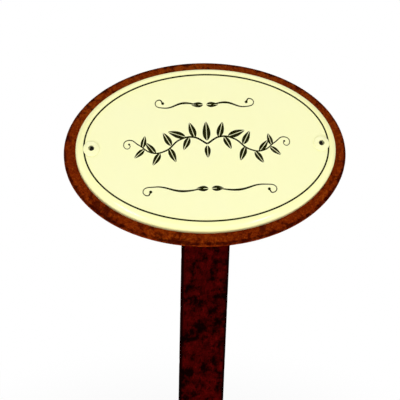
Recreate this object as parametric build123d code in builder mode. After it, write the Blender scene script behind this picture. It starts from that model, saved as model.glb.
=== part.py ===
"""Plant label stake: an enamelled oval sign riveted to a rusted plate on a bent flat-bar stake.

Millimetres. +Z points up the stake, +X to the reader's right, and the sign faces -Y. The origin
is in the middle of the bar at the soil line.
"""

import os
from math import cos, radians, sin

from build123d import *

os.makedirs("parts", exist_ok=True)

# Stake: a hot-rolled flat bar, cut to a point and bent back near its top
bar_width = 20.0
bar_thickness = 4.0
bar_edge_radius = 0.6
spike_length = 100.0
point_length = 34.0
point_width = 2.5
bend_height = 160.0
bend_radius = 5.0
lean = 50.0

# Enamelled sign: a pressed steel blank between a cover coat and a thinner back coat
sign_width = 105.0
sign_height = 70.0
nose_fullness = 1.054
nose_turn = 36.0
shoulder_turn = 30.0
blank_thickness = 0.8
front_coat = 0.3
back_coat = 0.2
rim_inside_radius = 1.5
rim_wall = 2.4

# Backing plate
plate_margin = 4.75
plate_thickness = 3.0
plate_edge_bevel = 0.4
plate_drop = 29.0
tab_top_gap = 12.5

# Blind rivets, set with their mandrels trapped in them, and the spacers that they pass
rivet_diameter = 3.2
rivet_hole_clearance = 0.2
head_diameter = 6.5
head_height = 1.1
head_edge = 0.3
bore_diameter = 2.2
bulb_diameter = 5.0
bulb_length = 4.2
tail_diameter = 4.0
mandrel_clearance = 0.1
mandrel_recess = 1.6
mandrel_head_diameter = 2.9
mandrel_head_length = 1.8
mandrel_tail_rise = 0.5
spacer_diameter = 6.5
spacer_rim_gap = 0.25

# Weld beads behind the plate
weld_leg = 3.0
weld_crown = 0.5
weld_end_gap = 8.0

# Radii of the three tangent arcs in each quarter of the oval, which keep within 0.1 mm of an ellipse:
# a nose at each end, a shoulder beside it and a long side
nose_sin, nose_cos = sin(radians(nose_turn)), cos(radians(nose_turn))
side_sin, side_cos = sin(radians(nose_turn + shoulder_turn)), cos(radians(nose_turn + shoulder_turn))
nose_radius = nose_fullness * (sign_height / 2) ** 2 / (sign_width / 2)
width_left = sign_width / 2 - nose_radius * (1 - nose_cos)
height_left = sign_height / 2 - nose_radius * nose_sin
closing = (side_cos - nose_cos) * (1 - side_sin) + side_cos * (side_sin - nose_sin)
shoulder_radius = (side_cos * height_left - (1 - side_sin) * width_left) / closing
side_radius = ((side_cos - nose_cos) * height_left + (side_sin - nose_sin) * width_left) / closing

# Sizes that follow from those above
sign_thickness = front_coat + blank_thickness + back_coat
rim_roll = rim_inside_radius + sign_thickness
sign_rise = rim_roll + rim_wall
plate_height = sign_height + 2 * plate_margin
tab_length = plate_height - plate_drop - tab_top_gap
rivet_hole = rivet_diameter + 2 * rivet_hole_clearance
blank_hole = rivet_hole + 2 * front_coat
rivet_offset = sign_width / 2 - rim_roll - spacer_rim_gap - spacer_diameter / 2
grip = sign_rise + plate_thickness
rivet_spots = [(-rivet_offset, 0), (rivet_offset, 0)]

# Plane of the bar's front face behind the plate, at the plate's centre, facing the reader
outer_bend_radius = bend_radius + bar_thickness
centre_up_tab = plate_height / 2 - plate_drop
lean_sin = sin(radians(lean))
lean_cos = cos(radians(lean))
label_plane = Plane(
    origin=(
        0,
        -bar_thickness / 2 + outer_bend_radius * (1 - lean_cos) + centre_up_tab * lean_sin,
        bend_height + outer_bend_radius * lean_sin + centre_up_tab * lean_cos,
    ),
    x_dir=(1, 0, 0),
    z_dir=(0, -lean_cos, lean_sin),
)
label_axis = Axis(label_plane.origin, label_plane.z_dir)
sign_seat = label_plane.offset(plate_thickness)
sign_face = sign_seat.offset(sign_rise)


def save(builder, name):
    """Label a finished piece and write it as its own file."""
    builder.part.label = name
    export_step(builder.part, f"parts/{name}.step")


def oval(inset):
    """The sign's oval as a flat sketch, drawn in by an inset, or let out where that is negative."""
    with BuildSketch() as shape:
        with BuildLine():
            nose = JernArc((sign_width / 2 - inset, 0), (0, 1), nose_radius - inset, nose_turn)
            shoulder = JernArc(nose @ 1, nose % 1, shoulder_radius - inset, shoulder_turn)
            JernArc(shoulder @ 1, shoulder % 1, side_radius - inset, 90 - nose_turn - shoulder_turn)
            mirror(about=Plane.YZ)
            mirror(about=Plane.XZ)
        make_face()
    return shape.sketch


def pressed_form(inset):
    """The oval with its rolled rim, filled in behind, drawn in by an inset from the sign's outside."""
    with BuildPart() as form:
        with BuildSketch(sign_seat):
            add(oval(inset))
        extrude(amount=sign_rise - inset)
        fillet(form.faces().sort_by(label_axis)[-1].edges(), radius=rim_roll - inset)
    return form.part


# The bar: one section along the shank, round the bend and up the tab, then the point
with BuildPart() as stake:
    with BuildLine(Plane.YZ):
        shank_line = Line((0, -spike_length), (0, bend_height))
        bend_line = JernArc(shank_line @ 1, shank_line % 1, bend_radius + bar_thickness / 2, -lean)
        PolarLine(bend_line @ 1, tab_length, direction=bend_line % 1)
    with BuildSketch(Plane.XY.offset(-spike_length)):
        RectangleRounded(bar_width, bar_thickness, bar_edge_radius)
    sweep()
    with BuildSketch(Plane.XZ):
        with BuildLine():
            Polyline(
                (point_width / 2, -spike_length),
                (bar_width / 2, point_length - spike_length),
                (bar_width, point_length - spike_length),
                (bar_width, -spike_length),
                close=True,
            )
        make_face()
        mirror(about=Plane.YZ)
    extrude(amount=bar_thickness, both=True, mode=Mode.SUBTRACT)
save(stake, "stake")

# The plate, cut from sheet, with its cut edges rubbed down
with BuildPart() as backing_plate:
    with BuildSketch(label_plane):
        add(oval(-plate_margin))
    extrude(amount=plate_thickness)
    broad_faces = backing_plate.faces().filter_by(Axis(label_plane.origin, label_plane.z_dir))
    chamfer(broad_faces.edges(), length=plate_edge_bevel)
    with BuildSketch(label_plane):
        with Locations(*rivet_spots):
            Circle(rivet_hole / 2)
    extrude(amount=plate_thickness, mode=Mode.SUBTRACT)
save(backing_plate, "backing_plate")

# The steel core of the sign, which stops short of the plate by the coat under its edge
blank_outside = pressed_form(front_coat)
blank_inside = pressed_form(front_coat + blank_thickness)
with BuildPart() as sign_blank:
    add(blank_outside)
    add(blank_inside, mode=Mode.SUBTRACT)
    split(bisect_by=sign_seat.offset(back_coat), keep=Keep.TOP)
    with BuildSketch(sign_seat):
        with Locations(*rivet_spots):
            Circle(blank_hole / 2)
    extrude(amount=sign_rise, mode=Mode.SUBTRACT)
save(sign_blank, "sign_blank")

# The cover coat, over the face and rim and down the walls of the two holes
with BuildPart() as front_enamel:
    add(pressed_form(0))
    add(blank_outside, mode=Mode.SUBTRACT)
    with BuildSketch(sign_face.offset(-front_coat)):
        with Locations(*rivet_spots):
            Circle(blank_hole / 2)
    extrude(amount=-blank_thickness)
    with BuildSketch(sign_seat):
        with Locations(*rivet_spots):
            Circle(rivet_hole / 2)
    extrude(amount=sign_rise, mode=Mode.SUBTRACT)
save(front_enamel, "front_enamel")

# The back coat, over the hollow side and under the blank's edge
with BuildPart() as back_enamel:
    add(blank_inside)
    with BuildSketch(sign_seat):
        add(oval(front_coat))
    extrude(amount=back_coat)
    add(pressed_form(sign_thickness), mode=Mode.SUBTRACT)
    with BuildSketch(sign_seat):
        with Locations(*rivet_spots):
            Circle(rivet_hole / 2)
    extrude(amount=sign_rise, mode=Mode.SUBTRACT)
save(back_enamel, "back_enamel")

for side, spot in zip(("left", "right"), rivet_spots):
    # Ring that fills the sign's hollow round the rivet
    with BuildPart() as spacer:
        with BuildSketch(sign_seat):
            with Locations(spot):
                Circle(spacer_diameter / 2)
                Circle(rivet_hole / 2, mode=Mode.SUBTRACT)
        extrude(amount=sign_rise - sign_thickness)
    save(spacer, f"{side}_spacer")

    # Half sections of the rivet and its mandrel: radius across, height over the sign's face up
    rivet_origin = sign_face.from_local_coords((*spot, 0))
    half_section = Plane(rivet_origin, x_dir=label_plane.x_dir, z_dir=-label_plane.y_dir)
    rivet_axis = Axis(rivet_origin, label_plane.z_dir)
    tail = -grip - bulb_length

    with BuildPart() as rivet:
        with BuildSketch(half_section):
            with BuildLine():
                TangentArc((0, head_height), (head_diameter / 2, head_edge), tangent=(1, 0))
                Polyline(
                    (head_diameter / 2, head_edge),
                    (head_diameter / 2, 0),
                    (rivet_diameter / 2, 0),
                    (rivet_diameter / 2, -grip),
                    (bulb_diameter / 2, -grip),
                )
                TangentArc((bulb_diameter / 2, -grip), (tail_diameter / 2, tail), tangent=(0, -1))
                Polyline((tail_diameter / 2, tail), (0, tail), (0, head_height))
            make_face()
        revolve(axis=rivet_axis)
        with BuildSketch(half_section):
            with BuildLine():
                Polyline(
                    (0, head_height),
                    (bore_diameter / 2, head_height),
                    (bore_diameter / 2, tail + mandrel_head_length),
                    (mandrel_head_diameter / 2 + mandrel_clearance, tail + mandrel_head_length),
                    (mandrel_head_diameter / 2 + mandrel_clearance, tail),
                    (0, tail),
                    close=True,
                )
            make_face()
        revolve(axis=rivet_axis, mode=Mode.SUBTRACT)
    save(rivet, f"{side}_rivet")

    with BuildPart() as mandrel:
        with BuildSketch(half_section):
            with BuildLine():
                Polyline(
                    (0, -mandrel_tail_rise + tail),
                    (0, head_height - mandrel_recess),
                    (bore_diameter / 2 - mandrel_clearance, head_height - mandrel_recess),
                    (bore_diameter / 2 - mandrel_clearance, tail + mandrel_head_length),
                    (mandrel_head_diameter / 2, tail + mandrel_head_length),
                    (mandrel_head_diameter / 2, tail),
                )
                TangentArc((0, tail - mandrel_tail_rise), (mandrel_head_diameter / 2, tail), tangent=(1, 0))
            make_face()
        revolve(axis=rivet_axis)
    save(mandrel, f"{side}_mandrel")

# Fillet welds along both sides of the tab and over its end
tab_bottom = -centre_up_tab
tab_top = tab_bottom + tab_length
side_weld_length = tab_length - 2 * weld_end_gap
top_weld_length = bar_width - 2 * bar_edge_radius - 2 * weld_leg
crown_reach = weld_leg / 2 + weld_crown * cos(radians(45))

# Section across a bead: away from the bar along the plate, and back from the plate along the bar
with BuildSketch() as bead:
    with BuildLine():
        Polyline((0, weld_leg), (0, 0), (weld_leg, 0))
        ThreePointArc((weld_leg, 0), (crown_reach, crown_reach), (0, weld_leg))
    make_face()

for name, start, away, length in (
    ("left_weld", (-bar_width / 2, tab_top - weld_end_gap), (-1, 0), side_weld_length),
    ("right_weld", (bar_width / 2, tab_bottom + weld_end_gap), (1, 0), side_weld_length),
    ("top_weld", (top_weld_length / 2, tab_top), (0, 1), top_weld_length),
):
    root = label_plane.from_local_coords((*start, 0))
    away_dir = label_plane.from_local_coords((*away, 0)) - label_plane.origin
    start_plane = Plane(root, x_dir=away_dir, z_dir=label_plane.z_dir.cross(away_dir))
    end_plane = start_plane.offset(length)
    with BuildPart() as weld:
        with BuildSketch(start_plane):
            add(bead.sketch)
        extrude(amount=length)
        with BuildSketch(start_plane):
            add(bead.sketch)
        revolve(axis=Axis(start_plane.origin, start_plane.y_dir), revolution_arc=90)
        with BuildSketch(end_plane):
            add(bead.sketch)
        revolve(axis=Axis(end_plane.origin, -end_plane.y_dir), revolution_arc=90)
    save(weld, name)
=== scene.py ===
"""Looks for a plant label stake: an enamelled oval sign riveted to a rusted plate on a bent flat bar."""

from math import asin, cos, pi, radians, sin, sqrt

import bmesh
import bpy
from bmesh.types import BMEdge, BMFace, BMVert
from bpy.props import FloatProperty, FloatVectorProperty, PointerProperty
from bpy.types import Operator, Panel, PropertyGroup
from mathutils import Matrix, Quaternion, Vector, noise


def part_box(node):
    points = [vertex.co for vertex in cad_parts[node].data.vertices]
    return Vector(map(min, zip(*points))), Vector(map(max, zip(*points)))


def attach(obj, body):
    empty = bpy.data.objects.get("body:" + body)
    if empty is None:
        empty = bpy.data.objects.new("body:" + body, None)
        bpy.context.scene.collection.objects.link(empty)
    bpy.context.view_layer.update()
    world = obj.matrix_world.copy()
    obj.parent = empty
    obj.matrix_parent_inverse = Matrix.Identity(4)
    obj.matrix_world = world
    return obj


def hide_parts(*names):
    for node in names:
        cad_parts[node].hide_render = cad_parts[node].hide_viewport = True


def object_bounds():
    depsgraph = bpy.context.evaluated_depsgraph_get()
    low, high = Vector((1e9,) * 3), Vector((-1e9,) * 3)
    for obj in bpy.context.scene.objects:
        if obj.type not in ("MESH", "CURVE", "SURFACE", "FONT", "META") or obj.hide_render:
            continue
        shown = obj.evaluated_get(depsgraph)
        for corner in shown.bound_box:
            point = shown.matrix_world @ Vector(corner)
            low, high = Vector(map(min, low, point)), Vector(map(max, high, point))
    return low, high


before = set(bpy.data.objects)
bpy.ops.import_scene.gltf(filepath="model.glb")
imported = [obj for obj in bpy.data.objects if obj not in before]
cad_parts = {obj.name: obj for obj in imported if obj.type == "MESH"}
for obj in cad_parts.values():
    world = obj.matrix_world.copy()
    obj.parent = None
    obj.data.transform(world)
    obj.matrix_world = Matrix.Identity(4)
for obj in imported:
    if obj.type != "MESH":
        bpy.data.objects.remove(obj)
cad_low, cad_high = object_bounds()
sign_low, sign_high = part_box("front_enamel")
plate_low, plate_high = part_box("backing_plate")

bl_info = {
    "name": "Plant Label Stake",
    "version": (1, 0, 0),
    "blender": (4, 5, 0),
    "location": "View3D > Sidebar > Label Stake",
    "description": "Dresses an enamelled plant label on its rusted stake",
    "category": "Object",
}


def setting(kind, reckon=None, **options):
    """A way to make settings of one kind from a name, a description and a first value."""
    def make(name, description, value):
        first = reckon(value) if reckon else value
        return kind(name=name, description=description, default=first, **options)
    return make


# Lengths are written in millimetres, angles in degrees, places in metres and light as a share of plain light
length = setting(
    FloatProperty, lambda mm: mm / 1000, min=0.0, unit="LENGTH", subtype="DISTANCE", precision=5,
)
angle = setting(FloatProperty, radians, unit="ROTATION", subtype="ANGLE")
spot = setting(FloatVectorProperty, size=3, unit="LENGTH", subtype="XYZ")
colour = setting(FloatVectorProperty, size=3, min=0.0, max=1.0, subtype="COLOR")
light_share = setting(FloatProperty, min=0.0, soft_max=1.0, subtype="FACTOR")
focal_length = setting(FloatProperty, min=1.0, unit="CAMERA", subtype="DISTANCE_CAMERA")


class BarSizes(PropertyGroup):
    """Sizes of the flat bar."""

    width: length("Width", "Width of the flat bar", 20)
    thickness: length("Thickness", "Thickness of the flat bar", 4)
    edge_radius: length("Edge radius", "Rounding of the bar's long edges", 0.6)
    spike: length("Spike", "Length of the bar below the soil line", 100)
    point: length("Point length", "Height over which the bar narrows to its point", 34)
    point_width: length("Point width", "Width that is left at the very tip", 2.5)
    bend_height: length("Bend height", "Where the bend starts above the soil line", 160)
    bend_radius: length("Bend radius", "Inside radius of the bend", 5)
    tab: length("Tab", "Length of the bar behind the plate", 38)
    lean: angle("Lean", "How far the sign leans back", 50)
    pit_depth: length("Pit depth", "Depth of the rust's deeper pits", 0.16)


class SignSizes(PropertyGroup):
    """Sizes of the enamelled sign and its print."""

    width: length("Width", "Width of the sign", (sign_high.x - sign_low.x) * 1000)
    height: length("Height", "Height of the sign along its face", 70)
    rise: length("Rise", "Height of the sign's face over the plate", 5.2)
    roll: length("Rim roll", "Outside radius of the rolled rim", 2.8)
    coat: length("Cover coat", "Thickness of the cover enamel", 0.3)
    hole: length("Rivet hole", "Diameter of the hole for each rivet", 3.6)
    line_inset: length("Line inset", "From the sign's edge to the middle of the printed line", 3.4)
    line_width: length("Line width", "Width of the printed line", 0.66)
    print_height: length("Print height", "How far the print stands on the enamel", 0.02)


class PlateSizes(PropertyGroup):
    """Sizes of the backing plate."""

    width: length("Width", "Width of the plate", (plate_high.x - plate_low.x) * 1000)
    height: length("Height", "Height of the plate along its face", 79.47)
    thickness: length("Thickness", "Thickness of the plate", 3)
    bevel: length("Edge bevel", "Rubbed-down edge of the plate", 0.65)
    drop: length("Drop", "How far the plate hangs below the bend", 29)
    pit_depth: length("Pit depth", "Depth of the rust's deeper pits", 0.1)


class RivetSizes(PropertyGroup):
    """Sizes of the two blind rivets."""

    offset: length("Offset", "From the sign's middle to each rivet", 46.2)
    head: length("Head", "Diameter of the head", 6.5)
    head_height: length("Head height", "Height of the head over the sign", 1.1)
    head_edge: length("Head edge", "Height of the head's edge", 0.3)
    shank: length("Shank", "Diameter of the shank", 3.2)
    bore: length("Bore", "Diameter of the bore", 2.2)
    bulb: length("Bulb", "Largest diameter behind the plate", 5)
    bulb_length: length("Bulb length", "Length behind the plate", 4.2)
    tail: length("Tail", "Diameter of the blind end", 4)
    recess: length("Recess", "Depth of the broken mandrel in the head", 1.6)
    mandrel_head: length("Mandrel head", "Diameter of the mandrel's head", 2.9)
    mandrel_rise: length("Mandrel rise", "How far the mandrel's head stands out", 0.5)


class WeldSizes(PropertyGroup):
    """Sizes of the weld beads behind the plate."""

    leg: length("Leg", "Reach of a bead along the plate and along the bar", 3)
    crown: length("Crown", "Bulge of a bead", 0.5)
    end_gap: length("End gap", "From the tab's ends to the side beads", 8)
    pitch: length("Ripple pitch", "Distance between a bead's ripples", 1.5)
    ripple: length("Ripple depth", "Depth of a bead's ripples", 0.3)


class FinishColours(PropertyGroup):
    """Colours of the finishes."""

    cream: colour("Cream enamel", "Cover enamel on the face", (0.962, 0.955, 0.53))
    # Over the rim the enamel is thinner, and yellower as painted shade where the roll turns from the light
    cream_rim_thin_and_shaded: colour("Cream rim", "Cover enamel where it thins over the rim", (0.96, 0.945, 0.435))
    ink: colour("Print", "Fired print on the enamel", (0.012, 0.012, 0.0006))
    rust: colour("Plate rust", "Middle tone of the plate", (0.175, 0.0175, 0.0012))
    rust_light: colour("Light rust", "Fresh rust on the plate", (0.26, 0.045, 0.003))
    rust_dark: colour("Dark rust", "Old rust on the plate", (0.06, 0.0032, 0.0006))
    bar_rust: colour("Bar rust", "Middle tone of the bar", (0.033, 0.0007, 0.0006))
    bar_light: colour("Bar light", "Warmer rust on the bar", (0.056, 0.0012, 0.001))
    bar_scale: colour("Bar scale", "Black scale left on the bar", (0.002, 0.0003, 0.0003))


class StageSettings(PropertyGroup):
    """Camera and light."""

    eye: spot("Eye", "Where the camera stands", (-0.047262, -0.399529, 0.390885))
    aim: spot("Aim", "Point at the middle of the picture", (-0.002815, 0.000251, 0.157591))
    roll: angle("Roll", "Turn of the camera about its view", 1.569)
    lens: focal_length("Lens", "Focal length of the camera in millimetres", 103.042)
    world: light_share("World", "Light from all round", 0.44)
    overhead: light_share("Overhead", "Light from above", 0.4)
    left: light_share("Front left", "Light from the front left", 0.225)
    right: light_share("Front right", "Light from the front right", 0.155)
    sides: light_share("Sides", "Light from each side", 0.14)
    low: light_share("Front low", "Light from low in front", 0.17)


class LabelStakeSettings(PropertyGroup):
    """Everything that can be changed on the label stake."""

    bar: PointerProperty(type=BarSizes)
    sign: PointerProperty(type=SignSizes)
    plate: PointerProperty(type=PlateSizes)
    rivet: PointerProperty(type=RivetSizes)
    weld: PointerProperty(type=WeldSizes)
    colours: PointerProperty(type=FinishColours)
    stage: PointerProperty(type=StageSettings)


def sum_of(operation, other_first=False):
    """A way to reckon with a socket and another socket or a number."""
    def reckon(self, other):
        first, second = (other, self) if other_first else (self, other)
        return self.finish.node("Math", {0: first, 1: second}, operation=operation)
    return reckon


class Link:
    """A socket of a finish, on which sums are written as plain expressions."""

    def __init__(self, finish, socket):
        self.finish = finish
        self.socket = socket

    __add__, __radd__ = sum_of("ADD"), sum_of("ADD", True)
    __sub__, __rsub__ = sum_of("SUBTRACT"), sum_of("SUBTRACT", True)
    __mul__, __rmul__ = sum_of("MULTIPLY"), sum_of("MULTIPLY", True)


def pick(sockets, key):
    """A socket by its number, its own key or its name."""
    if isinstance(key, int):
        return sockets[key]
    return next(s for s in sockets if key in (s.identifier, s.name))


class Finish:
    """The nodes of a material or the world, with one way to add a node."""

    def __init__(self, holder):
        self.holder = holder
        holder.use_nodes = True
        self.tree = holder.node_tree
        self.tree.nodes.clear()

    def node(self, kind, sockets=None, out=0, stops=(), **settings):
        """Add a shader node: its settings or a ramp's stops, then the values or links of its sockets."""
        made = self.tree.nodes.new("ShaderNode" + kind)
        for key, value in settings.items():
            setattr(made, key, value)
        if stops:
            run = made.color_ramp.elements
            run.remove(run[1])
            run[0].position, run[0].color = stops[0][0], (*stops[0][1], 1)
            for position, tone in stops[1:]:
                run.new(position).color = (*tone, 1)
        for key, value in (sockets or {}).items():
            into = pick(made.inputs, key)
            if isinstance(value, Link):
                self.tree.links.new(value.socket, into)
            else:
                into.default_value = (*value, 1) if into.type == "RGBA" else value
        return Link(self, pick(made.outputs, out)) if made.outputs else None

    def place(self, scale=(1, 1, 1)):
        """Where a point is on the object, stretched for a pattern."""
        return self.node("Mapping", {"Vector": self.node("TexCoord", out="Object"), "Scale": scale})

    def clouds(self, at, scale, detail=4.0, roughness=0.55, distortion=0.0):
        """Soft noise between 0 and 1."""
        return self.node("TexNoise", {
            "Vector": at, "Scale": scale, "Detail": detail, "Roughness": roughness, "Distortion": distortion,
        })

    def level(self):
        """How high a point is over the soil line."""
        return self.node("SeparateXYZ", {"Vector": self.place()}, out="Z")

    def away_from(self, at, point):
        """How far each place is from one point of the object."""
        return self.node("VectorMath", {0: at, 1: point}, out="Value", operation="DISTANCE")

    def step(self, value, low, high):
        """0 below low, 1 above high, smooth between."""
        limits = {"Value": value, "From Min": low, "From Max": high}
        return self.node("MapRange", limits, interpolation_type="SMOOTHSTEP")

    def tones(self, value, stops):
        """A run of colours, each with the value at which it stands."""
        return self.node("ValToRGB", {"Fac": value}, stops=stops)

    def mix(self, share, first, second):
        """A colour between two, by the share of the second."""
        parts = {"Factor_Float": share, "A_Color": first, "B_Color": second}
        return self.node("Mix", parts, out="Result_Color", data_type="RGBA")

    def carried(self, name):
        """A value that the piece's own mesh carries."""
        return self.node("Attribute", out="Fac", attribute_name=name)

    def bump(self, height, strength, depth):
        """A fine relief, its depth in metres."""
        return self.node("Bump", {"Height": height, "Strength": strength, "Distance": depth}, out="Normal")

    def surface(self, **sockets):
        """The finished material, from the shader's sockets with their spaces written as underscores."""
        named = {key.replace("_", " "): value for key, value in sockets.items()}
        return self.close("OutputMaterial", self.node("BsdfPrincipled", named))

    def close(self, output, shader):
        """Lead a shader to the tree's output and give back what carries the tree."""
        self.node(output, {"Surface": shader})
        return self.holder


def new_finish(name):
    return Finish(bpy.data.materials.new(name))


# Colours of the finer marks in the finishes
PALE_DRIFT = (0.94, 0.93, 0.6)
FIRED_SPECK = (0.28, 0.19, 0.07)
THIN_PRINT = (0.026, 0.026, 0.002)
BLACK_OXIDE = (0.009, 0.004, 0.003)
BROWN_OXIDE = (0.028, 0.008, 0.005)
WARM_OXIDE = (0.06, 0.013, 0.005)
RUBBED_LACQUER = (0.9, 0.88, 0.5)
DULL_ALUMINIUM = (0.34, 0.34, 0.34)
BARE_ALUMINIUM = (0.52, 0.52, 0.51)
# The dark of the rivet bores: partly grime, partly painted shade
BORE_SHADE_AND_GRIME = (0.012, 0.01, 0.007)
BROKEN_STEEL = (0.03, 0.026, 0.025)
STAINED_STEEL = (0.016, 0.007, 0.004)


def cream_enamel(colours):
    """Glossy fired enamel: a slightly wavy glaze, thinner over the rim and yellower there as painted shade of
    the roll, with a few specks.
    """
    f = new_finish("cream_enamel")
    at = f.place()
    drift = f.clouds(at, 38, 3)
    # Painted shade: yellower enamel over the rolled rim, by the rim value that the mesh carries
    body = f.mix(f.carried("rim") * (0.75 + drift * 0.4), colours.cream, colours.cream_rim_thin_and_shaded)
    pale = f.mix(f.step(drift, 0.35, 0.75) * 0.3, body, PALE_DRIFT)
    cells = {"Vector": at, "Scale": 95.0}
    from_middle = f.node("TexVoronoi", cells, out="Distance", feature="F1")
    drawn = f.node("TexVoronoi", cells, out="Color", feature="F1")
    lot = f.node("SeparateColor", {"Color": drawn}, out="Red")
    speck = (1 - f.step(from_middle, 0.018, 0.034)) * f.step(lot, 0.945, 0.95)
    glaze = f.mix(speck * 0.75, pale, FIRED_SPECK)
    peel = f.clouds(at, 420, 2) * 0.4 + f.clouds(at, 85, 1)
    return f.surface(
        Base_Color=glaze,
        Roughness=0.1 + f.clouds(at, 160, 4) * 0.08,
        Specular_IOR_Level=0.6,
        Normal=f.bump(peel, 0.18, 0.0006),
    )


def fired_print(colours):
    """Dark print fired on the glaze, a little duller than it and thin in places."""
    f = new_finish("fired_print")
    at = f.place()
    thin = f.step(f.clouds(at, 900, 5), 0.5, 0.85)
    return f.surface(
        Base_Color=f.mix(thin * 0.5, colours.ink, THIN_PRINT),
        Roughness=0.42 + thin * 0.2,
        Specular_IOR_Level=0.03,
        Normal=f.bump(f.clouds(at, 1500, 3), 0.15, 0.0001),
    )


# In metres: the levels over which the plate's foot ends and over which painted light at its head begins, and
# a stain's place and reach
PLATE_FOOT = (0.148, 0.173)
PLATE_PAINTED_LIGHT = (0.178, 0.2)
STAIN_SPOT = (-0.0445, -0.0113, 0.1604)
STAIN_REACH = (0.001, 0.0085)


def plate_rust(colours):
    """Even orange-brown rust with a fine grain, painted light towards the top, dark edges that are partly
    rubbed wear and partly painted shade, small scabs and one dark stain.
    """
    f = new_finish("plate_rust")
    at = f.place()
    broad = f.clouds(at, 62, 4, 0.6)
    mottle = f.clouds(at, 470, 8, 0.68)
    grain = f.clouds(at, 1500, 3, 0.6)
    scab = f.clouds(at, 380, 5, 0.62, 0.2)
    level = f.level()
    foot = 1 - f.step(level, *PLATE_FOOT)
    # Painted light: the plate's tone is raised towards its head
    head = f.step(level, *PLATE_PAINTED_LIGHT)
    tone = mottle * 0.35 + broad * 0.2 + grain * 0.45 + head * 0.05 - foot * 0.012
    body = f.tones(tone, [
        (0.37, colours.rust_dark),
        (0.45, colours.rust * 0.82),
        (0.51, colours.rust),
        (0.6, colours.rust_light),
    ])
    edge = f.carried("edge")
    stain = 1 - f.step(f.away_from(at, STAIN_SPOT), *STAIN_REACH)
    spots = f.step(scab + edge * 0.05 + foot * 0.05 + stain * 0.13 + (broad - 0.5) * 0.3, 0.57, 0.68)
    flecks = f.step(f.clouds(at, 820, 3, 0.6) + (scab - 0.5) * 0.3, 0.56, 0.7)
    bloom = f.step(f.clouds(at, 1100, 2, 0.5, 0.3) + (broad - 0.5) * 0.2, 0.56, 0.74)
    bright = f.mix(bloom * 0.5, body, colours.rust_light * 1.35)
    flecked = f.mix(flecks * 0.36, bright, colours.rust_dark)
    scabbed = f.mix(spots * 0.75, flecked, colours.rust_dark * 0.7)
    # Dark edges: partly rubbed wear, partly painted shade where the bevelled edges turn from the light
    edge_wear_and_shade = f.step(edge + (scab - 0.5) * 1.6, 0.5, 1.15)
    height = mottle * 0.6 + grain * 0.25 + scab * 0.6
    return f.surface(
        Base_Color=f.mix(edge_wear_and_shade * 0.85, scabbed, colours.rust_dark * 0.45),
        Roughness=0.78 + mottle * 0.2,
        Specular_IOR_Level=0.0,
        Normal=f.bump(height, 0.55, 0.0005),
    )


# In metres: the levels over which the bar's damp part ends, and over which the painted shadow of the plate on
# the bar begins
BAR_DAMP = (0.075, 0.11)
BAR_PAINTED_SHADOW = (0.1, 0.145)


def bar_rust(colours):
    """Dark red-brown rust on hot-rolled bar, with blotches of black scale, more of them under the plate as a
    painted shadow, and painted shade along its long edges.
    """
    f = new_finish("bar_rust")
    at = f.place((1, 1, 0.72))
    broad = f.clouds(at, 48, 4, 0.6)
    mottle = f.clouds(at, 390, 7, 0.66)
    grain = f.clouds(at, 1500, 3, 0.6)
    blot = f.clouds(at, 230, 4, 0.6, 0.15)
    tone = mottle * 0.5 + broad * 0.2 + grain * 0.3
    body = f.tones(tone, [
        (0.37, colours.bar_rust * 0.25),
        (0.46, colours.bar_rust),
        (0.52, colours.bar_rust * 1.35),
        (0.62, colours.bar_light * 1.5),
    ])
    level = f.level()
    damp = 1 - f.step(level, *BAR_DAMP)
    painted_plate_shadow = f.step(level, *BAR_PAINTED_SHADOW)
    # More black scale up under the plate: a painted shadow of the plate on the bar
    scale = f.step(blot + (broad - 0.5) * 0.5 + painted_plate_shadow * 0.04 + damp * 0.06, 0.49, 0.67)
    flecks = f.step(f.clouds(at, 700, 3, 0.6), 0.56, 0.68)
    blotched = f.mix(scale * 0.95, body, colours.bar_scale)
    flecked = f.mix(flecks * 0.6, blotched, colours.bar_scale)
    edge = f.carried("edge")
    # Painted shade along the bar's long edges, which turn from the light
    dark = f.step(edge + (mottle - 0.5) * 0.6, 0.3, 0.85)
    height = mottle * 0.7 + grain * 0.25 - scale * 0.35
    return f.surface(
        Base_Color=f.mix(dark * 0.9, flecked, colours.bar_scale),
        Roughness=0.74 + mottle * 0.2,
        Specular_IOR_Level=0.0,
        Normal=f.bump(height, 0.6, 0.0006),
    )


def weld_rust(colours):
    """Weld bead: dark oxide with rust in the hollows between its ripples."""
    f = new_finish("weld_rust")
    at = f.place()
    mottle = f.clouds(at, 520, 6, 0.66)
    hollow = f.carried("hollow")
    crust = f.step(hollow * 0.5 + (mottle - 0.5) * 1.2 + f.clouds(at, 170, 4, 0.6), 0.55, 1.05)
    body = f.tones(mottle, [(0.35, BLACK_OXIDE), (0.52, BROWN_OXIDE), (0.66, WARM_OXIDE)])
    return f.surface(
        Base_Color=f.mix(crust * 0.75, body, colours.rust * 0.7),
        Roughness=0.6 + mottle * 0.3,
        Specular_IOR_Level=0.08,
        Normal=f.bump(mottle + f.clouds(at, 2400, 3) * 0.3, 0.4, 0.0004),
    )


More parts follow.
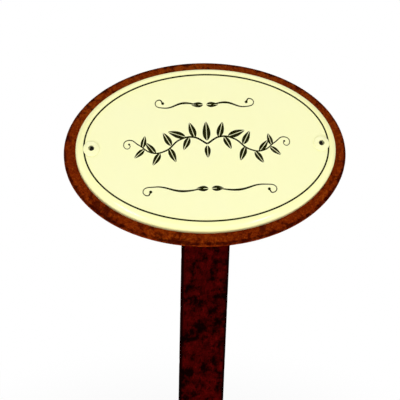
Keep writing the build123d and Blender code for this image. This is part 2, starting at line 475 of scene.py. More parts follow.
def rivet_lacquer(colours):
    """Cream lacquer on the heads, darkness in their bores that is partly grime and partly painted shade, and
    bare dull aluminium behind the plate.
    """
    f = new_finish("rivet_lacquer")
    at = f.place()
    drift = f.clouds(at, 300, 4)
    lacquer = f.mix(f.step(drift, 0.4, 0.8) * 0.4, colours.cream, RUBBED_LACQUER)
    marks = f.clouds(f.place((1, 1, 0.15)), 2600, 4, 0.6)
    bare = f.mix(marks, DULL_ALUMINIUM, BARE_ALUMINIUM)
    behind = f.carried("behind")
    bore_shade_and_grime = f.carried("bore_shade_and_grime")
    return f.surface(
        # The bores are darkened, more of them deeper down: partly grime, partly painted shade in the recess
        Base_Color=f.mix(bore_shade_and_grime, f.mix(behind, lacquer, bare), BORE_SHADE_AND_GRIME),
        Metallic=behind * 0.95 * (1 - bore_shade_and_grime),
        Roughness=0.16 + behind * 0.22 + marks * 0.1 + bore_shade_and_grime * 0.5,
        Normal=f.bump(drift + marks * behind * 0.4, 0.12, 0.0002),
    )


def mandrel_steel():
    """Broken steel mandrel, dull grey with brown stains."""
    f = new_finish("mandrel_steel")
    at = f.place()
    stain = f.step(f.clouds(at, 900, 5), 0.42, 0.62)
    return f.surface(
        Base_Color=f.mix(stain, BROKEN_STEEL, STAINED_STEEL),
        Metallic=0.5 - stain * 0.4,
        Roughness=0.45 + stain * 0.35,
        Normal=f.bump(f.clouds(at, 3200, 4), 0.35, 0.0002),
    )


# Stock out of sight: light and dark tone, scale of its grain, metallic and roughness
HIDDEN_STOCK = {
    "blank_steel": ((0.5, 0.5, 0.51), (0.32, 0.32, 0.33), 140, 0.9, 0.35),
    "ground_enamel": ((0.05, 0.05, 0.06), (0.015, 0.015, 0.02), 160, 0, 0.1),
    "spacer_plastic": ((0.78, 0.78, 0.75), (0.68, 0.68, 0.64), 200, 0, 0.45),
}


def plain_stock(name):
    """Stock that nothing shows from outside, a little uneven in tone and grain."""
    light, dark, scale, metallic, roughness = HIDDEN_STOCK[name]
    f = new_finish(name)
    at = f.place()
    drift = f.clouds(at, scale, 5)
    return f.surface(
        Base_Color=f.mix(drift, dark, light),
        Metallic=metallic,
        Roughness=roughness + drift * 0.2,
        Normal=f.bump(f.clouds(at, scale * 6, 3), 0.2, 0.0002),
    )


def label_place(bar, plate):
    """The bar's front face behind the plate, at the plate's middle: x to the right, y up the slope, z out."""
    outside = bar.bend_radius + bar.thickness
    up = plate.height / 2 - plate.drop
    low = -bar.thickness / 2 + outside * (1 - cos(bar.lean)) + up * sin(bar.lean)
    high = bar.bend_height + outside * sin(bar.lean) + up * cos(bar.lean)
    return Matrix.Translation((0, low, high)) @ Matrix.Rotation(pi / 2 - bar.lean, 4, "X")


# Metres within which two points are one
SAME_POINT = 1e-7


def of_kind(geom, kind):
    """The points, edges or faces among what an operator gives back."""
    return [g for g in geom if isinstance(g, kind)]


def show(name, data):
    """Bring a mesh, a lamp or a camera into the scene."""
    made = bpy.data.objects.new(name, data)
    bpy.context.scene.collection.objects.link(made)
    return made


def as_object(bm, name, material):
    """Make a shape an object of the scene."""
    mesh = bpy.data.meshes.new(name)
    bm.to_mesh(mesh)
    bm.free()
    mesh.materials.append(material)
    return show(name, mesh)


def put(bm, name, place, material, stands_for=None, sharp=40):
    """Make a shape a piece, with its place in its mesh and its edges sharp past an angle in degrees."""
    bmesh.ops.remove_doubles(bm, verts=bm.verts, dist=SAME_POINT)
    bmesh.ops.recalc_face_normals(bm, faces=bm.faces)
    bm.transform(place)
    piece = as_object(bm, name, material)
    piece.data.shade_smooth()
    piece.data.set_sharp_from_angle(angle=radians(sharp))
    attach(piece, "root")
    if stands_for:
        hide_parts(stands_for)
    return piece


def dress(node, material):
    """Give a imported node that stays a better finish."""
    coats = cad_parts[node].data.materials
    coats.clear()
    coats.append(material)


def oval(bm, width, height, level, segments=256):
    """A filled oval lying level, facing up."""
    made = bmesh.ops.create_circle(bm, cap_ends=True, segments=segments, radius=1.0)
    bmesh.ops.scale(bm, vec=(width / 2, height / 2, 1), verts=made["verts"])
    bmesh.ops.translate(bm, vec=(0, 0, level), verts=made["verts"])
    face = made["verts"][0].link_faces[0]
    face.normal_update()
    if face.normal.z < 0:
        face.normal_flip()
    return face


def raise_face(bm, face, move):
    """Draw a face out and give back the face at its end."""
    grown = bmesh.ops.extrude_face_region(bm, geom=[face])
    top = of_kind(grown["geom"], BMFace)[0]
    bmesh.ops.translate(bm, vec=move, verts=top.verts)
    return top


def inset(bm, face, width, depth=0.0):
    """Draw a face's border inwards, and up by a depth, and give back the ring of new faces."""
    return bmesh.ops.inset_region(
        bm, faces=[face], thickness=width, depth=depth, use_even_offset=True, use_boundary=True,
    )["faces"]


def lengthways(bm, least, cuts):
    """Divide every edge that is longer than this."""
    runs = [e for e in bm.edges if e.calc_length() > least]
    bmesh.ops.subdivide_edges(bm, edges=runs, cuts=cuts, use_grid_fill=True)


def clear_inside(bm):
    """Take out the faces that sweeping leaves inside a shape."""
    inside = [f for f in bm.faces if all(len(e.link_faces) > 2 for e in f.edges)]
    bmesh.ops.delete(bm, geom=inside, context="FACES_ONLY")


# The rust's relief: waves over a metre, how rare its pits are, and the share of each in its depth
RUST_WAVES, PIT_RARITY, WAVE_SHARE, PIT_SHARE = 120, 0.28, 0.22, 1.2


def rust_relief(bm, pit_depth, spread):
    """Sink the surface into shallow pits and waves, never outwards."""
    bmesh.ops.recalc_face_normals(bm, faces=bm.faces)
    bm.normal_update()
    for v in bm.verts:
        wave = 0.5 + 0.5 * noise.fractal(v.co * RUST_WAVES, 1.0, 2.0, 3)
        pit = max(0.0, noise.noise(v.co * spread) - PIT_RARITY)
        v.co -= v.normal * pit_depth * (WAVE_SHARE * max(0.0, wave) + PIT_SHARE * pit)


# Steps round the sign's rim, and steps in which its yellower colour, painted shade of the roll, fades, with
# the metres between these
RIM_STEPS = 12
RIM_FADE, RIM_FADE_WIDTH = (0.8, 0.45, 0.15, 0.0), 0.0007
# The flat lip and the wall of enamel at a rivet hole, in metres
HOLE_LIP, HOLE_WALL = 0.0004, 0.0011


class LABEL_OT_enamel_sign(Operator):
    """Make the cover enamel with its rolled rim, and finish the layers behind it"""

    bl_idname = "label_stake.enamel_sign"
    bl_label = "Enamel Sign"

    def execute(self, context):
        s = context.scene.label_stake
        sign, plate, rivet = s.sign, s.plate, s.rivet
        bm = bmesh.new()
        rim = bm.verts.layers.float.new("rim")
        seat = oval(bm, sign.width, sign.height, plate.thickness)
        top = raise_face(bm, seat, (0, 0, sign.rise - sign.roll))
        for i in range(RIM_STEPS):
            low, high = pi / 2 * i / RIM_STEPS, pi / 2 * (i + 1) / RIM_STEPS
            inset(bm, top, sign.roll * (cos(low) - cos(high)), sign.roll * (sin(high) - sin(low)))
        for v in bm.verts:
            v[rim] = 1.0
        for share in RIM_FADE:
            inset(bm, top, RIM_FADE_WIDTH)
            for v in top.verts:
                v[rim] = share
        bmesh.ops.delete(bm, geom=[top, seat], context="FACES_ONLY")
        level = plate.thickness + sign.rise
        border = [e for e in bm.edges if e.is_boundary and e.verts[0].co.z > level - 1e-6]
        hole = sign.hole / 2
        for side in (-1, 1):
            middle = (side * rivet.offset, 0, level)
            lip = bmesh.ops.create_circle(bm, segments=48, radius=hole + HOLE_LIP)
            bmesh.ops.translate(bm, vec=middle, verts=lip["verts"])
            loop = list({e for v in lip["verts"] for e in v.link_edges})
            border += loop
            inner = bmesh.ops.extrude_edge_only(bm, edges=loop)["geom"]
            share = hole / (hole + HOLE_LIP)
            bmesh.ops.scale(
                bm, vec=(share, share, 1), verts=of_kind(inner, BMVert),
                space=Matrix.Translation(middle).inverted(),
            )
            wall = bmesh.ops.extrude_edge_only(bm, edges=of_kind(inner, BMEdge))["geom"]
            bmesh.ops.translate(bm, vec=(0, 0, -HOLE_WALL), verts=of_kind(wall, BMVert))
        bmesh.ops.triangle_fill(bm, use_beauty=True, edges=border)
        glaze = put(
            bm, "cover_enamel", label_place(s.bar, plate), cream_enamel(s.colours),
            "front_enamel", 50,
        )
        coat = glaze.modifiers.new("coat", "SOLIDIFY")
        coat.thickness = sign.coat
        coat.offset = -1
        dress("sign_blank", plain_stock("blank_steel"))
        dress("back_enamel", plain_stock("ground_enamel"))
        return {"FINISHED"}


# The right half of the printed ornament, in millimetres on the sign's face: strokes as x, y and half width,
# leaves as x, y, turn in degrees, length and width
STEM = (
    (0, 1.1, 0.39), (5.5, 4.1, 0.37), (11, 3, 0.33), (16.6, -1.5, 0.31), (22, -2.4, 0.28), (27.6, 1.3, 0.24),
    (30.8, 3.3, 0.22), (33.3, 1.8, 0.18), (32.2, -0.4, 0.17), (30.8, 0.6, 0.15), (31.2, 1.5, 0.2),
)
STEM_LEAVES = (
    (4.8, 3.8, 74, 7.0, 2.8), (8.5, 4.1, 20, 7.5, 2.8), (7.0, 4.0, -64, 6.1, 2.5),
    (14.4, 0.5, 62, 6.6, 2.6), (15.3, -0.5, -112, 6.6, 2.6), (19.0, -2.6, -58, 6.1, 2.4),
    (20.8, -2.8, 52, 6.3, 2.4), (25.2, -0.7, -42, 5.7, 2.1), (26.0, -0.2, 104, 5.5, 2.1),
)
MIDDLE_LEAVES = ((0, 2.4, 90, 8.5, 3.1), (0, 0.4, -90, 5.5, 2.4))
# Scrolls as level, reach and dip, and the radius of the drop at the end of a stroke
SCROLLS = ((18.2, 20.0, 1.7), (-18.0, 26.5, -1.7))
STEM_DROP, SCROLL_DROP = 0.42, 0.6
# The gap along a leaf's midrib, and the width of a stroke that stands as high as the print, in metres
MIDRIB, STROKE_WIDTH = 0.00022, 0.0006


def leaf(bm, x, y, degrees, size, width, lift):
    """A pointed leaf in two halves with a clear midrib, growing from its stalk the way that it is turned."""
    place = Matrix.Translation((x / 1000, y / 1000, 0)) @ Matrix.Rotation(radians(degrees), 4, "Z")
    for side in (-1, 1):
        made = bmesh.ops.create_circle(bm, cap_ends=True, segments=28, radius=1.0)
        for v in made["verts"]:
            along = v.co.x
            v.co.y = v.co.y * width / 2000 * (1 - 0.35 * along) * (1 - along * along) ** 0.28
            v.co.x = size / 2000 * (along + 1)
        face = made["verts"][0].link_faces[0]
        cut = bmesh.ops.bisect_plane(
            bm, geom=[face, *face.edges, *face.verts], dist=1e-8, plane_co=(0, side * MIDRIB / 2, 0),
            plane_no=(0, -side, 0), clear_outer=True,
        )
        half = of_kind(cut["geom"], BMFace)[0]
        bmesh.ops.transform(bm, matrix=place, verts=half.verts)
        raise_face(bm, half, (0, 0, lift))


def pen_stroke(bm, points, lift, drop):
    """A stroke through points of x, y and half width in millimetres, with a round drop at its end."""
    line = bpy.data.curves.new("stroke", "CURVE")
    line.dimensions = "3D"
    line.bevel_depth = 0.001
    line.bevel_resolution = 2
    line.use_fill_caps = True
    spline = line.splines.new("BEZIER")
    spline.resolution_u = 10
    spline.bezier_points.add(len(points) - 1)
    for point, (x, y, half) in zip(spline.bezier_points, points):
        point.co = (x / 1000, y / 1000, 0)
        point.handle_left_type = point.handle_right_type = "AUTO"
        point.radius = half
    holder = bpy.data.objects.new("stroke", line)
    mesh = bpy.data.meshes.new_from_object(holder)
    flat = Matrix.Diagonal((1, 1, lift / STROKE_WIDTH, 1))
    mesh.transform(Matrix.Translation((0, 0, lift / 2)) @ flat)
    bm.from_mesh(mesh)
    bpy.data.objects.remove(holder)
    bpy.data.curves.remove(line)
    bpy.data.meshes.remove(mesh)
    end = Matrix.Translation((points[-1][0] / 1000, points[-1][1] / 1000, 0))
    disc = bmesh.ops.create_circle(bm, cap_ends=True, segments=24, radius=drop / 1000, matrix=end)
    raise_face(bm, disc["verts"][0].link_faces[0], (0, 0, lift))


class LABEL_OT_print(Operator):
    """Make the printed line round the sign and a plain leafy ornament in the middle"""

    bl_idname = "label_stake.print"
    bl_label = "Fired Print"

    def execute(self, context):
        s = context.scene.label_stake
        sign, plate = s.sign, s.plate
        lift = sign.print_height
        ink = fired_print(s.colours)
        face = label_place(s.bar, plate) @ Matrix.Translation((0, 0, plate.thickness + sign.rise))

        bm = bmesh.new()
        middle = oval(bm, sign.width, sign.height, 0)
        inset(bm, middle, sign.line_inset - sign.line_width / 2)
        ring = inset(bm, middle, sign.line_width)
        bmesh.ops.delete(bm, geom=[f for f in bm.faces if f not in ring], context="FACES")
        grown = bmesh.ops.extrude_face_region(bm, geom=bm.faces[:])["geom"]
        bmesh.ops.translate(bm, vec=(0, 0, lift), verts=of_kind(grown, BMVert))
        put(bm, "printed_line", face, ink)

        bm = bmesh.new()
        for side in (-1, 1):
            pen_stroke(bm, [(side * x, y, half) for x, y, half in STEM], lift, STEM_DROP)
            for x, y, degrees, size, width in STEM_LEAVES:
                leaf(bm, side * x, y, degrees if side > 0 else 180 - degrees, size, width, lift)
            for level, reach, dip in SCROLLS:
                pen_stroke(bm, [(side * x, level + dip * swing, half) for x, swing, half in (
                    (2.6, 0, 0.19), (reach * 0.42, 0.5, 0.46), (reach * 0.82, -0.7, 0.24),
                    (reach, 0.3, 0.18), (reach - 1.8, 1.4, 0.24), (reach - 3.0, 0.5, 0.31),
                )], lift, SCROLL_DROP)
                leaf(bm, side * 0.6, level, 0 if side > 0 else 180, 5, 2.2, lift)
        for sprig in MIDDLE_LEAVES:
            leaf(bm, *sprig, lift)
        put(bm, "printed_ornament", face, ink)
        return {"FINISHED"}


# The plate's broad sides: millimetres between their outer rings and how dark each ring is, as rubbed wear and
# painted shade of the turning edge, then the share of the size that each inner ring takes off, down to a core
PLATE_RINGS = ((0.3, 0.85), (0.4, 0.5), (0.5, 0.22), (0.7, 0.08), (0.9, 0.0), (1.2, 0.0), (1.5, 0.0))
RING_STEP, CORE = 0.034, 0.05


class LABEL_OT_backing_plate(Operator):
    """Make the rusted plate behind the sign"""

    bl_idname = "label_stake.backing_plate"
    bl_label = "Backing Plate"

    def execute(self, context):
        s = context.scene.label_stake
        plate = s.plate
        bm = bmesh.new()
        edge = bm.verts.layers.float.new("edge")
        back = oval(bm, plate.width, plate.height, 0, 320)
        raise_face(bm, back, (0, 0, plate.thickness))
        rims = [e for e in bm.edges if abs(e.verts[0].co.z - e.verts[1].co.z) < 1e-9]
        bmesh.ops.bevel(
            bm, geom=rims, offset=plate.bevel, offset_type="OFFSET", segments=3, profile=0.5,
            affect="EDGES", material=-1,
        )
        walls = [e for e in bm.edges if abs(e.verts[0].co.z - e.verts[1].co.z) > plate.thickness / 3]
        bmesh.ops.subdivide_edges(bm, edges=walls, cuts=4, use_grid_fill=True)
        for v in bm.verts:
            # Edge value: dark on the bevels for wear and painted shade, less on the wall
            v[edge] = 1.0 if min(v.co.z, plate.thickness - v.co.z) < plate.bevel * 1.05 else 0.25
        broad = sorted(bm.faces, key=lambda f: len(f.verts))[-2:]
        for face in broad:
            for width, rubbed in PLATE_RINGS:
                inset(bm, face, width / 1000)
                for v in face.verts:
                    v[edge] = rubbed
            loop = face.edges[:]
            bmesh.ops.delete(bm, geom=[face], context="FACES_ONLY")
            share = 1.0
            while share > CORE + 0.01:
                grown = bmesh.ops.extrude_edge_only(bm, edges=loop)["geom"]
                smaller = max(CORE, share - RING_STEP)
                bmesh.ops.scale(bm, vec=(smaller / share, smaller / share, 1), verts=of_kind(grown, BMVert))
                share, loop = smaller, of_kind(grown, BMEdge)
            bmesh.ops.contextual_create(bm, geom=loop)
        rust_relief(bm, plate.pit_depth, spread=420)
        put(
            bm, "rusted_plate", label_place(s.bar, plate), plate_rust(s.colours),
            "backing_plate", 60,
        )
        return {"FINISHED"}


# Where the painted shade on the bar's long edges is darkest, and how far that fades, in metres from the
# corner
EDGE_SHADE_DARKEST, EDGE_FADE = 0.0003, 0.0017
# The bar's mesh: cuts over its width, thickness, upright and tab, steps round its bend, slices of its point
WIDTH_CUTS, THICKNESS_CUTS, UPRIGHT_CUTS, TAB_CUTS, BEND_STEPS, POINT_SLICES = 20, 3, 220, 46, 10, 24


class LABEL_OT_stake(Operator):
    """Make the bent and pointed flat bar"""

    bl_idname = "label_stake.stake"
    bl_label = "Stake"

    def execute(self, context):
        s = context.scene.label_stake
        bar = s.bar
        bm = bmesh.new()
        edge = bm.verts.layers.float.new("edge")
        made = bmesh.ops.create_grid(bm, x_segments=1, y_segments=1, size=0.5)
        bmesh.ops.scale(bm, vec=(bar.width, bar.thickness, 1), verts=made["verts"])
        bmesh.ops.bevel(
            bm, geom=made["verts"], offset=bar.edge_radius, offset_type="OFFSET", segments=4, profile=0.5,
            affect="VERTICES", material=-1,
        )
        broad = [e for e in bm.edges if e.calc_length() > bar.width / 2]
        narrow = [e for e in bm.edges if bar.thickness / 3 < e.calc_length() < bar.width / 2]
        bmesh.ops.bisect_edges(bm, edges=broad, cuts=WIDTH_CUTS)
        bmesh.ops.bisect_edges(bm, edges=narrow, cuts=THICKNESS_CUTS)
        # Edge value for the painted shade on the long edges, strongest at the corners
        for v in bm.verts:
            from_corner = Vector((bar.width / 2 - abs(v.co.x), bar.thickness / 2 - abs(v.co.y))).length
            v[edge] = max(0.0, 1 - max(0.0, from_corner - EDGE_SHADE_DARKEST) / EDGE_FADE)
        tip = bm.faces[:][0]
        bmesh.ops.translate(bm, vec=(0, 0, -bar.spike), verts=bm.verts)
        upright = bar.spike + bar.bend_height
        top = raise_face(bm, tip, (0, 0, upright))
        lengthways(bm, upright / 2, UPRIGHT_CUTS)
        bend = bmesh.ops.spin(
            bm, geom=[top], cent=(0, bar.bend_radius + bar.thickness / 2, bar.bend_height), axis=(1, 0, 0),
            angle=-bar.lean, steps=BEND_STEPS,
        )
        top = of_kind(bend["geom_last"], BMFace)[0]
        raise_face(bm, top, (0, bar.tab * sin(bar.lean), bar.tab * cos(bar.lean)))
        lengthways(bm, bar.tab / 2, TAB_CUTS)
        clear_inside(bm)
        slope = Vector(((bar.width - bar.point_width) / 2, 0, bar.point))
        for side in (-1, 1):
            cut = bmesh.ops.bisect_plane(
                bm, geom=bm.verts[:] + bm.edges[:] + bm.faces[:], dist=SAME_POINT,
                plane_co=(side * bar.point_width / 2, 0, -bar.spike), plane_no=(side * slope.z, 0, -slope.x),
                clear_outer=True,
            )
            rim = of_kind(cut["geom_cut"], BMEdge)
            cheek = bmesh.ops.contextual_create(bm, geom=rim)["faces"]
            for i in range(1, POINT_SLICES):
                around = {part for f in cheek for part in (*f.edges, *f.verts)}
                level = -bar.spike + bar.point * i / POINT_SLICES
                sliced = bmesh.ops.bisect_plane(
                    bm, geom=[*cheek, *around], dist=SAME_POINT, plane_co=(0, 0, level), plane_no=(0, 0, 1),
                )
                cheek = of_kind(sliced["geom"], BMFace)
        rust_relief(bm, bar.pit_depth, spread=300)
        put(bm, "rusted_stake", Matrix.Identity(4), bar_rust(s.colours), "stake", 50)
        return {"FINISHED"}


# Roundings of a set rivet, as millimetres outwards and upwards from the corner that each one breaks
BORE_MOUTH = ((0, -0.3), (0.1, -0.14))
HEAD_EDGE = ((-0.03, -0.08), (0, -0.18))
HEAD_FOOT = ((-0.04, 0.04), (-0.2, 0))
BULB_SHOULDER = ((-0.12, 0), (0, -0.16))
BLIND_END = ((-0.1, 0.06), (-0.2, 0))
# A mandrel's broken end, as shares of its radius and millimetres upwards, with its rough top in metres
MANDREL_BREAK = ((0.0, 0.0), (0.35, -0.02), (0.7, -0.12), (1.0, -0.3))
BREAK_DEPTH, BREAK_ROUGHNESS = 0.0002, 0.00008
# A mandrel's head: metres over the rivet's tail, then its rounding as shares of its radius and its rise
MANDREL_NECK, MANDREL_SHOULDER, MANDREL_BRIM = 0.0016, 0.0014, -0.00006
MANDREL_ROUND = ((0.86, 0.5), (0.55, 0.84), (0.0, 1.0))
# In metres: the dome's distance from bore and edge, the pocket that holds the mandrel's head, the gap round
# its pin, the level in the bore at which a rivet's section starts and ends, and that where its lacquer ends
DOME_INSIDE, DOME_OUTSIDE = 0.00024, 0.00012
POCKET_GAP, POCKET_DEPTH, POCKET_CONE = 0.00012, 0.0008, 0.0004
PIN_GAP = 0.0001
SEAM, LACQUER_END = -0.0009, -0.0005
# Steps over the dome and the bulb, how late the bulb narrows, and metres by which its end is shorter
DOME_STEPS, BULB_STEPS, BULB_CURVE, BULB_SHORT = 8, 10, 2.2, 0.0004


def rounded(radius, level, corner):
    """The points that round a corner of a half section."""
    return [(radius + out / 1000, level + up / 1000) for out, up in corner]


def rivet_section(rivet, grip, tail):
    """Half section of a set rivet, out of its bore, over its head, down its shank and round its blind end."""
    bore, head, shank = rivet.bore / 2, rivet.head / 2, rivet.shank / 2
    bulb, end = rivet.bulb / 2, rivet.tail / 2
    rise = rivet.head_height - rivet.head_edge
    dome = (head ** 2 + rise ** 2) / (2 * rise)
    section = [(bore, SEAM), *rounded(bore, rivet.head_height, BORE_MOUTH)]
    inner, outer = bore + DOME_INSIDE, head - DOME_OUTSIDE
    for i in range(DOME_STEPS + 1):
        radius = inner + (outer - inner) * i / DOME_STEPS
        section.append((radius, rivet.head_height - dome + sqrt(dome ** 2 - radius ** 2)))
    section += rounded(head, rivet.head_edge, HEAD_EDGE) + rounded(head, 0, HEAD_FOOT)
    section += [(shank, 0), (shank, -grip), *rounded(bulb, -grip, BULB_SHOULDER)]
    shoulder = section[-1][1]
    for i in range(1, BULB_STEPS + 1):
        share = i / BULB_STEPS
        down = (rivet.bulb_length - BULB_SHORT) * share
        section.append((bulb - (bulb - end) * share ** BULB_CURVE, shoulder - down))
    pocket = rivet.mandrel_head / 2 + POCKET_GAP
    section += [*rounded(end, tail, BLIND_END), (pocket, tail), (pocket, tail + POCKET_DEPTH)]
    return section + [(bore, tail + POCKET_DEPTH + POCKET_CONE), (bore, SEAM)]


def mandrel_section(rivet, broken, tail):
    """Half section of a mandrel, from where it broke to the round head that swelled the rivet."""
    pin, head, rise = rivet.bore / 2 - PIN_GAP, rivet.mandrel_head / 2, rivet.mandrel_rise
    section = [(pin * share, broken + up / 1000) for share, up in MANDREL_BREAK]
    section += [(pin, tail + MANDREL_NECK), (head, tail + MANDREL_SHOULDER), (head, tail + MANDREL_BRIM)]
    return section + [(head * out, tail - rise * down) for out, down in MANDREL_ROUND]


def spun(bm, half_section, segments):
    """Turn a half section, radius and height in metres, about z."""
    row = [bmesh.ops.create_vert(bm, co=(radius, 0, level))["vert"][0] for radius, level in half_section]
    chain = [bm.edges.new(pair) for pair in zip(row, row[1:])]
    bmesh.ops.spin(
        bm, geom=row + chain, cent=(0, 0, 0), axis=(0, 0, 1), angle=2 * pi, steps=segments, use_merge=True,
    )


class LABEL_OT_rivets(Operator):
    """Make the two blind rivets with their broken mandrels, and finish the spacers"""

    bl_idname = "label_stake.rivets"
    bl_label = "Rivets"

    def execute(self, context):
        s = context.scene.label_stake
        sign, plate, rivet = s.sign, s.plate, s.rivet
        lacquer, steel, plastic = rivet_lacquer(s.colours), mandrel_steel(), plain_stock("spacer_plastic")
        grip = sign.rise + plate.thickness
        tail = -grip - rivet.bulb_length
        broken = rivet.head_height - rivet.recess
        for name, side in (("left", -1), ("right", 1)):
            place = label_place(s.bar, plate) @ Matrix.Translation((side * rivet.offset, 0, grip))
            bm = bmesh.new()
            behind = bm.verts.layers.float.new("behind")
            bore_shade_and_grime = bm.verts.layers.float.new("bore_shade_and_grime")
            spun(bm, rivet_section(rivet, grip, tail), 48)
            for v in bm.verts:
                v[behind] = 1.0 if v.co.z < LACQUER_END else 0.0
                # Bore darkening, as grime and as painted shade, full below the sign's face and half above it
                in_bore = v.co.xy.length < rivet.bore / 2 + 0.00002
                v[bore_shade_and_grime] = in_bore * (1.0 if v.co.z < 0 else 0.5)
            put(bm, f"{name}_rivet_set", place, lacquer, f"{name}_rivet", 50)
            bm = bmesh.new()
            spun(bm, mandrel_section(rivet, broken, tail), 32)
            for v in bm.verts:
                if v.co.z > broken - BREAK_DEPTH:
                    v.co.z -= BREAK_ROUGHNESS * (1 + noise.noise(v.co * 2600))
            put(bm, f"{name}_mandrel_pin", place, steel, f"{name}_mandrel", 50)
            dress(f"{name}_spacer", plastic)
        return {"FINISHED"}


# In metres: the distance between a bead's rings, and how far a ripple lags at its sides and wavers
BEAD_RING, RIPPLE_LAG, RIPPLE_WAVER = 0.0003, 0.0011, 0.0003


def round_end(bm, section, level):
    """Sweep a bead's section a quarter turn about the corner it fills."""
    swept = bmesh.ops.spin(bm, geom=[section], cent=(0, 0, level), axis=(0, 1, 0), angle=-pi / 2, steps=8)
    return of_kind(swept["geom_last"], BMFace)[0]


class LABEL_OT_welds(Operator):
    """Make the rippled weld beads behind the plate"""

    bl_idname = "label_stake.welds"
    bl_label = "Welds"

    def execute(self, context):
        s = context.scene.label_stake
        bar, weld = s.bar, s.weld
        rust = weld_rust(s.colours)
        place = label_place(bar, s.plate)
        bottom = s.plate.drop - s.plate.height / 2
        top = bottom + bar.tab
        side_run = bar.tab - 2 * weld.end_gap
        top_run = bar.width - 2 * bar.edge_radius - 2 * weld.leg
        half_chord = weld.leg / sqrt(2)
        curve = (half_chord ** 2 + weld.crown ** 2) / (2 * weld.crown)
        centre = weld.leg / 2 - (curve - weld.crown) / sqrt(2)
        for name, start, away, run in (
            ("left", (-bar.width / 2, top - weld.end_gap), (-1, 0), side_run),
            ("right", (bar.width / 2, bottom + weld.end_gap), (1, 0), side_run),
            ("top", (top_run / 2, top), (0, 1), top_run),
        ):
            bm = bmesh.new()
            hollow = bm.verts.layers.float.new("hollow")
            root, first = (bmesh.ops.create_vert(bm, co=(x, 0, 0))["vert"][0] for x in (0, weld.leg))
            bmesh.ops.spin(
                bm, geom=[first], cent=(centre, centre, 0), axis=(0, 0, 1),
                angle=2 * asin(half_chord / curve), steps=10,
            )
            last = max(bm.verts, key=lambda v: v.co.y)
            bm.edges.new((root, first))
            bm.edges.new((last, root))
            section = bmesh.ops.contextual_create(bm, geom=bm.edges[:])["faces"][0]
            bmesh.ops.rotate(bm, cent=(0, 0, 0), matrix=Matrix.Rotation(pi / 2, 3, "Y"), verts=bm.verts)
            section = raise_face(bm, round_end(bm, section, 0), (0, 0, run))
            lengthways(bm, run * 0.8, max(4, round(run / BEAD_RING)))
            round_end(bm, section, run)
            clear_inside(bm)
            for v in bm.verts:
                out = Vector((v.co.x, v.co.y, 0))
                # the root and the round ends stay plain
                if out.length > weld.leg * 0.4 and -0.0001 < v.co.z < run + 0.0001:
                    lag = (v.co.x - v.co.y) / weld.leg
                    along = v.co.z + RIPPLE_LAG * lag * lag + RIPPLE_WAVER * noise.noise(v.co * 600)
                    v[hollow] = 0.5 + 0.5 * cos(2 * pi * along / weld.pitch)
                    rough = 0.25 * noise.noise(v.co * 1500)
                    # the toes stay on the plate and the bar
                    if min(v.co.x, v.co.y) > weld.leg * 0.03:
                        v.co -= out.normalized() * weld.ripple * max(0.0, v[hollow] ** 1.5 + rough)
            ahead = Vector((0, 0, 1)).cross(Vector((*away, 0)))
            turn = Matrix((
                (away[0], 0, ahead.x, start[0]), (away[1], 0, ahead.y, start[1]), (0, -1, 0, 0), (0, 0, 0, 1),
            ))
            put(bm, f"{name}_weld_bead", place @ turn, rust, f"{name}_weld", 60)
        return {"FINISHED"}


# Lamps: name, setting of their strength, azimuth and elevation in degrees, distance and size in metres
LAMPS = (
    ("overhead_softbox", "overhead", 180, 72, 2.4, (2.0, 2.0)),
    ("left_softbox", "left", -31, 3, 1.0, (0.2, 0.55)),
    ("right_softbox", "right", 26, -4, 1.0, (0.12, 0.4)),
    ("left_fill", "sides", -80, 12, 1.6, (1.0, 1.0)),
    ("right_fill", "sides", 62, 22, 1.6, (1.0, 1.0)),
    ("low_card", "low", -5, -12, 0.75, (0.9, 0.2)),
)
# The floor's size, and the distances between which it turns from shaded board to plain white, in metres
FLOOR_RADIUS = 2.5
FLOOR_FADE = (0.12, 0.27)


def aimed(name, data, place, ahead, roll=0.0):
    """Stand a lamp or a camera at a place, looking ahead."""
    made = show(name, data)
    made.location = place
    made.rotation_mode = "QUATERNION"
    made.rotation_quaternion = ahead.to_track_quat("-Z", "Y") @ Quaternion((0, 0, 1), roll)
    return made


def softbox(name, share, azimuth, elevation, reach, size, target):
    """A soft lamp that gives a face turned to it this share of plain light."""
    lamp = bpy.data.lights.new(name, "AREA")
    lamp.shape = "RECTANGLE"
    lamp.size, lamp.size_y = size
    lamp.energy = share * pi * pi * reach ** 2
    turn, rise = radians(azimuth), radians(elevation)
    back = Vector((sin(turn) * cos(rise), -cos(turn) * cos(rise), sin(rise)))
    aimed(name, lamp, target + back * reach, -back)


def seen(f):
    """1 for what the camera sees, directly, in gloss or through glass."""
    camera = f.node("LightPath", out="Is Camera Ray")
    gloss = f.node("LightPath", out="Is Glossy Ray")
    through = f.node("LightPath", out="Is Transmission Ray")
    return f.node("Math", {0: camera + gloss, 1: through}, operation="ADD", use_clamp=True)


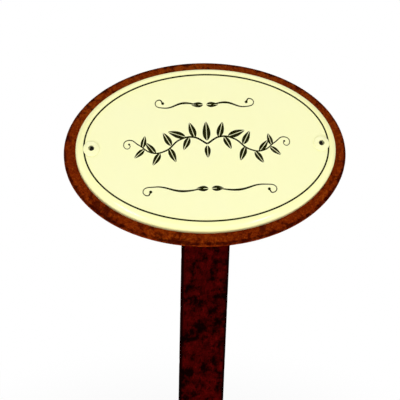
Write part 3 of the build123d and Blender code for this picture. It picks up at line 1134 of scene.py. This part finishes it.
class LABEL_OT_stage(Operator):
    """Make the camera, the soft lights and the pale floor"""

    bl_idname = "label_stake.stage"
    bl_label = "Stage"

    def execute(self, context):
        scene = context.scene
        stage = scene.label_stake.stage
        scene.view_settings.view_transform = "Standard"

        camera = bpy.data.cameras.new("camera")
        camera.lens = stage.lens
        camera.sensor_width = 36
        camera.clip_start = 0.01
        ahead = (stage.aim - stage.eye).normalized()
        scene.camera = aimed("camera", camera, stage.eye, ahead, stage.roll)

        target = (sign_low + sign_high) / 2
        for name, share, *where in LAMPS:
            softbox(name, getattr(stage, share), *where, target)

        f = Finish(bpy.data.worlds.new("studio"))
        shade = f.node("Background", {"Color": (1, 1, 1), "Strength": stage.world})
        white = f.node("Background", {"Color": (1, 1, 1), "Strength": 1.0})
        both = f.node("MixShader", {0: seen(f), 1: shade, 2: white})
        scene.world = f.close("OutputWorld", both)

        f = new_finish("pale_floor")
        at = f.place()
        far = f.step(f.away_from(at, (0, 0, 0)), *FLOOR_FADE)
        board = f.node("BsdfDiffuse", {"Color": (0.9, 0.9, 0.9)})
        white = f.node("Emission", {"Color": (1, 1, 1), "Strength": 1.0})
        both = f.node("MixShader", {0: seen(f) * (0.5 + far * 0.5), 1: board, 2: white})
        pale_floor = f.close("OutputMaterial", both)
        bm = bmesh.new()
        bmesh.ops.create_circle(bm, cap_ends=True, segments=96, radius=FLOOR_RADIUS)
        bmesh.ops.translate(bm, vec=(0, 0, cad_low.z), verts=bm.verts)
        as_object(bm, "floor", pale_floor)
        return {"FINISHED"}


class LABEL_PT_panel(Panel):
    """Lists the steps that make the label stake, and its sizes and colours"""

    bl_idname = "LABEL_PT_panel"
    bl_label = "Label Stake"
    bl_space_type = "VIEW_3D"
    bl_region_type = "UI"
    bl_category = "Label Stake"

    def draw(self, context):
        for cls in classes:
            if issubclass(cls, Operator):
                self.layout.operator(cls.bl_idname)
        stake = context.scene.label_stake
        for title in stake.__annotations__:
            group = getattr(stake, title)
            box = self.layout.box()
            box.label(text=title.capitalize())
            for name in group.__annotations__:
                box.prop(group, name)


classes = (
    BarSizes, SignSizes, PlateSizes, RivetSizes, WeldSizes, FinishColours, StageSettings, LabelStakeSettings,
    LABEL_OT_enamel_sign, LABEL_OT_print, LABEL_OT_backing_plate, LABEL_OT_stake,
    LABEL_OT_rivets, LABEL_OT_welds, LABEL_OT_stage, LABEL_PT_panel,
)


def register():
    for cls in classes:
        bpy.utils.register_class(cls)
    bpy.types.Scene.label_stake = PointerProperty(type=LabelStakeSettings)


def unregister():
    del bpy.types.Scene.label_stake
    for cls in reversed(classes):
        bpy.utils.unregister_class(cls)


def main():
    register()
    bpy.ops.label_stake.stage()
    bpy.ops.label_stake.enamel_sign()
    bpy.ops.label_stake.print()
    bpy.ops.label_stake.backing_plate()
    bpy.ops.label_stake.stake()
    bpy.ops.label_stake.rivets()
    bpy.ops.label_stake.welds()


if __name__ == "__main__":
    main()
